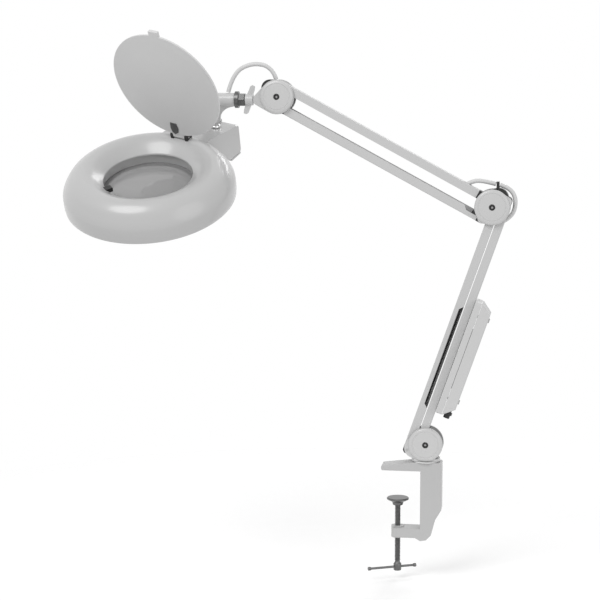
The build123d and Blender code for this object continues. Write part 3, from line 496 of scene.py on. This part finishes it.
# The web that carries the neck's barrel into its leg, with a round inner corner
webSettings = {"barrel": 9.0, "leg": 11.6, "radius": 23.0, "half": 5.5, "steps": 12, "rounding": 2.4}
neckAt = Vector(joints["head_roll"]["pos_m"])
reach = webSettings["leg"] + webSettings["radius"]
drop = webSettings["barrel"] + webSettings["radius"]
outline = [(0, 0), (reach, 0)]
for k in range(webSettings["steps"] + 1):
    angle = pi / 2 * (1 + k / webSettings["steps"])
    outline.append((reach + webSettings["radius"] * cos(angle), webSettings["radius"] * sin(angle) - drop))
outline.append((0, -drop))
webNormal = Vector((1, 0, 0)).cross(headUp)
mesh = bmesh.new()
plate(mesh, outline, -webSettings["half"], webSettings["half"], axes(neckAt, (1, 0, 0), webNormal))
finishPiece("neckWeb", mesh, "hub_enamel", "neck", bevel=webSettings["rounding"] * mm, smooth=60)
print("lid leaf and neck web made")

# Springs
springSettings = {
    "radius": 3.3,
    "wire": 0.65,
    "pitch": 1.9,
    "tail": 8,
    "inset": 1.4,
    "stepsPerTurn": 12,
}


def makeSpring(node):
    low, high = (Vector(v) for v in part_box(node))
    leftUp = node == "upper_spring"
    first = Vector((high.x if leftUp else low.x, 0, low.z))
    last = Vector((low.x if leftUp else high.x, 0, high.z))
    along = (last - first).normalized()
    first += along * springSettings["inset"] * mm
    last -= along * springSettings["inset"] * mm
    place = axes(first, (0, 1, 0), along)
    coiled = (last - first).length / mm - 2 * springSettings["tail"]
    turns = coiled / springSettings["pitch"]
    data = bpy.data.curves.new(node + "Coil", "CURVE")
    data.dimensions = "3D"
    data.bevel_depth = springSettings["wire"] * mm
    data.bevel_resolution = 1
    data.use_fill_caps = True
    steps = int(turns * springSettings["stepsPerTurn"])
    radius = springSettings["radius"] * mm
    line = data.splines.new("POLY")
    line.points.add(steps)
    for k, point in enumerate(line.points):
        angle = 2 * pi * turns * k / steps
        height = springSettings["tail"] + coiled * k / steps
        spot = Vector((radius * cos(angle), radius * sin(angle), height * mm))
        point.co = (*(place @ spot), 1)
    coil = bpy.data.objects.new(node + "Coil", data)
    bpy.context.collection.objects.link(coil)
    data.materials.append(materials["spring_steel"])
    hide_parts(node)
    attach(coil, bodyOf[node])


for node in ("lower_spring", "upper_spring"):
    makeSpring(node)
print("springs made")

# Clamp screw: points of (radius, height), counted down from its top or up from its lower end
screwSettings = {
    "tip": [(0, 0), (3.0, 0), (3.8, -1)],
    "threadBelowTop": 4,
    "threadAboveEnd": 14,
    "pitch": 2,
    "turn": [(4.0, 0), (4.0, -0.5), (3.35, -1.0), (3.35, -1.5)],
    "head": [(4.0, 11.5), (5.1, 10.5), (5.5, 10.0), (5.5, 1.2), (4.9, 0.4), (3.4, 0.4), (2.8, 0), (0, 0)],
}
screwLow, screwTop = (corner[2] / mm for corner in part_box("clamp_screw"))
profile = [(r, screwTop + h) for r, h in screwSettings["tip"]]
height = screwTop - screwSettings["threadBelowTop"]
while height > screwLow + screwSettings["threadAboveEnd"]:
    profile += [(r, height + h) for r, h in screwSettings["turn"]]
    height -= screwSettings["pitch"]
profile += [(r, screwLow + h) for r, h in screwSettings["head"]]
mesh = bmesh.new()
spun(mesh, profile, Matrix.Identity(4), steps=40, closed=False)
finishPiece("threadedScrew", mesh, "dark_steel", "screw", ("clamp_screw",), smooth=40)

# Light and floor
world = bpy.data.worlds.new("studio")
bpy.context.scene.world = world
world.use_nodes = True
tree = world.node_tree
tree.nodes.clear()
rays = makeNode(tree, "ShaderNodeLightPath")
direct = makeNode(
    tree,
    "ShaderNodeMath",
    [(rays.outputs["Is Camera Ray"], 0), (rays.outputs["Is Transmission Ray"], 1)],
    operation="MAXIMUM",
)
seen = makeNode(
    tree, "ShaderNodeMath", [(direct.outputs[0], 0), (rays.outputs["Is Glossy Ray"], 1)], operation="MAXIMUM"
)
white = (1, 1, 1, 1)
ambient = makeNode(tree, "ShaderNodeBackground", Color=white, Strength=0.62)
backdrop = makeNode(tree, "ShaderNodeBackground", Color=white, Strength=1.0)
chosen = makeNode(tree, "ShaderNodeMixShader", [(seen.outputs[0], 0)])
tree.links.new(ambient.outputs[0], chosen.inputs[1])
tree.links.new(backdrop.outputs[0], chosen.inputs[2])
output = makeNode(tree, "ShaderNodeOutputWorld", [(chosen.outputs[0], "Surface")])

lightSettings = {
    "key": {"at": (-1.1, -1.9, 2.2), "size": 1.6, "power": 30},
    "fill": {"at": (1.8, -1.5, 0.9), "size": 1.8, "power": 9},
    "rim": {"at": (0.6, 1.8, 1.8), "size": 1.2, "power": 12},
}
middle = Vector(cameraSettings["target"])
for name, settings in lightSettings.items():
    data = bpy.data.lights.new(name, "AREA")
    data.shape = "DISK"
    data.size = settings["size"]
    data.energy = settings["power"]
    lamp = bpy.data.objects.new(name, data)
    bpy.context.collection.objects.link(lamp)
    lamp.location = settings["at"]
    lamp.rotation_euler = (middle - Vector(settings["at"])).to_track_quat("-Z", "Y").to_euler()

# The floor fades out into the white background, and keeps the shadow
floorSettings = {
    "half": 1.6,
    "centreX": -0.1,
    "below": 0.012,
    "colour": (0.97, 0.97, 0.97, 1),
    "glow": 0.12,
    "rough": 0.9,
    "shine": 0.1,
    "solidTo": 0.25,
    "goneAt": 1.1,
}
floorHeight = cadBounds[0][2] - floorSettings["below"]
floorMesh = bmesh.new()
bmesh.ops.create_grid(floorMesh, x_segments=1, y_segments=1, size=floorSettings["half"])
bmesh.ops.translate(floorMesh, verts=floorMesh.verts, vec=Vector((floorSettings["centreX"], 0, floorHeight)))
floorData = bpy.data.meshes.new("floor")
floorMesh.to_mesh(floorData)
floorMesh.free()
floor = bpy.data.objects.new("floor", floorData)
bpy.context.collection.objects.link(floor)
floorMaterial = bpy.data.materials.new("floor")
floorMaterial.use_nodes = True
tree = floorMaterial.node_tree
shader = tree.nodes["Principled BSDF"]
shader.inputs["Base Color"].default_value = floorSettings["colour"]
shader.inputs["Emission Color"].default_value = white
shader.inputs["Emission Strength"].default_value = floorSettings["glow"]
shader.inputs["Roughness"].default_value = floorSettings["rough"]
shader.inputs["Specular IOR Level"].default_value = floorSettings["shine"]
place = makeNode(tree, "ShaderNodeTexCoord")
shifted = makeNode(tree, "ShaderNodeVectorMath", [(place.outputs["Object"], 0)], operation="ADD")
shifted.inputs[1].default_value = (-floorSettings["centreX"], 0, 0)
distance = makeNode(tree, "ShaderNodeVectorMath", [(shifted.outputs[0], 0)], operation="LENGTH")
fade = makeNode(
    tree,
    "ShaderNodeMapRange",
    [(distance.outputs["Value"], "Value")],
    From_Min=floorSettings["solidTo"],
    From_Max=floorSettings["goneAt"],
)
clearShader = makeNode(tree, "ShaderNodeBsdfTransparent")
mixed = makeNode(tree, "ShaderNodeMixShader", [(fade.outputs["Result"], 0)])
tree.links.new(shader.outputs[0], mixed.inputs[1])
tree.links.new(clearShader.outputs[0], mixed.inputs[2])
tree.links.new(mixed.outputs[0], tree.nodes["Material Output"].inputs["Surface"])
floorData.materials.append(floorMaterial)
print("stage made")
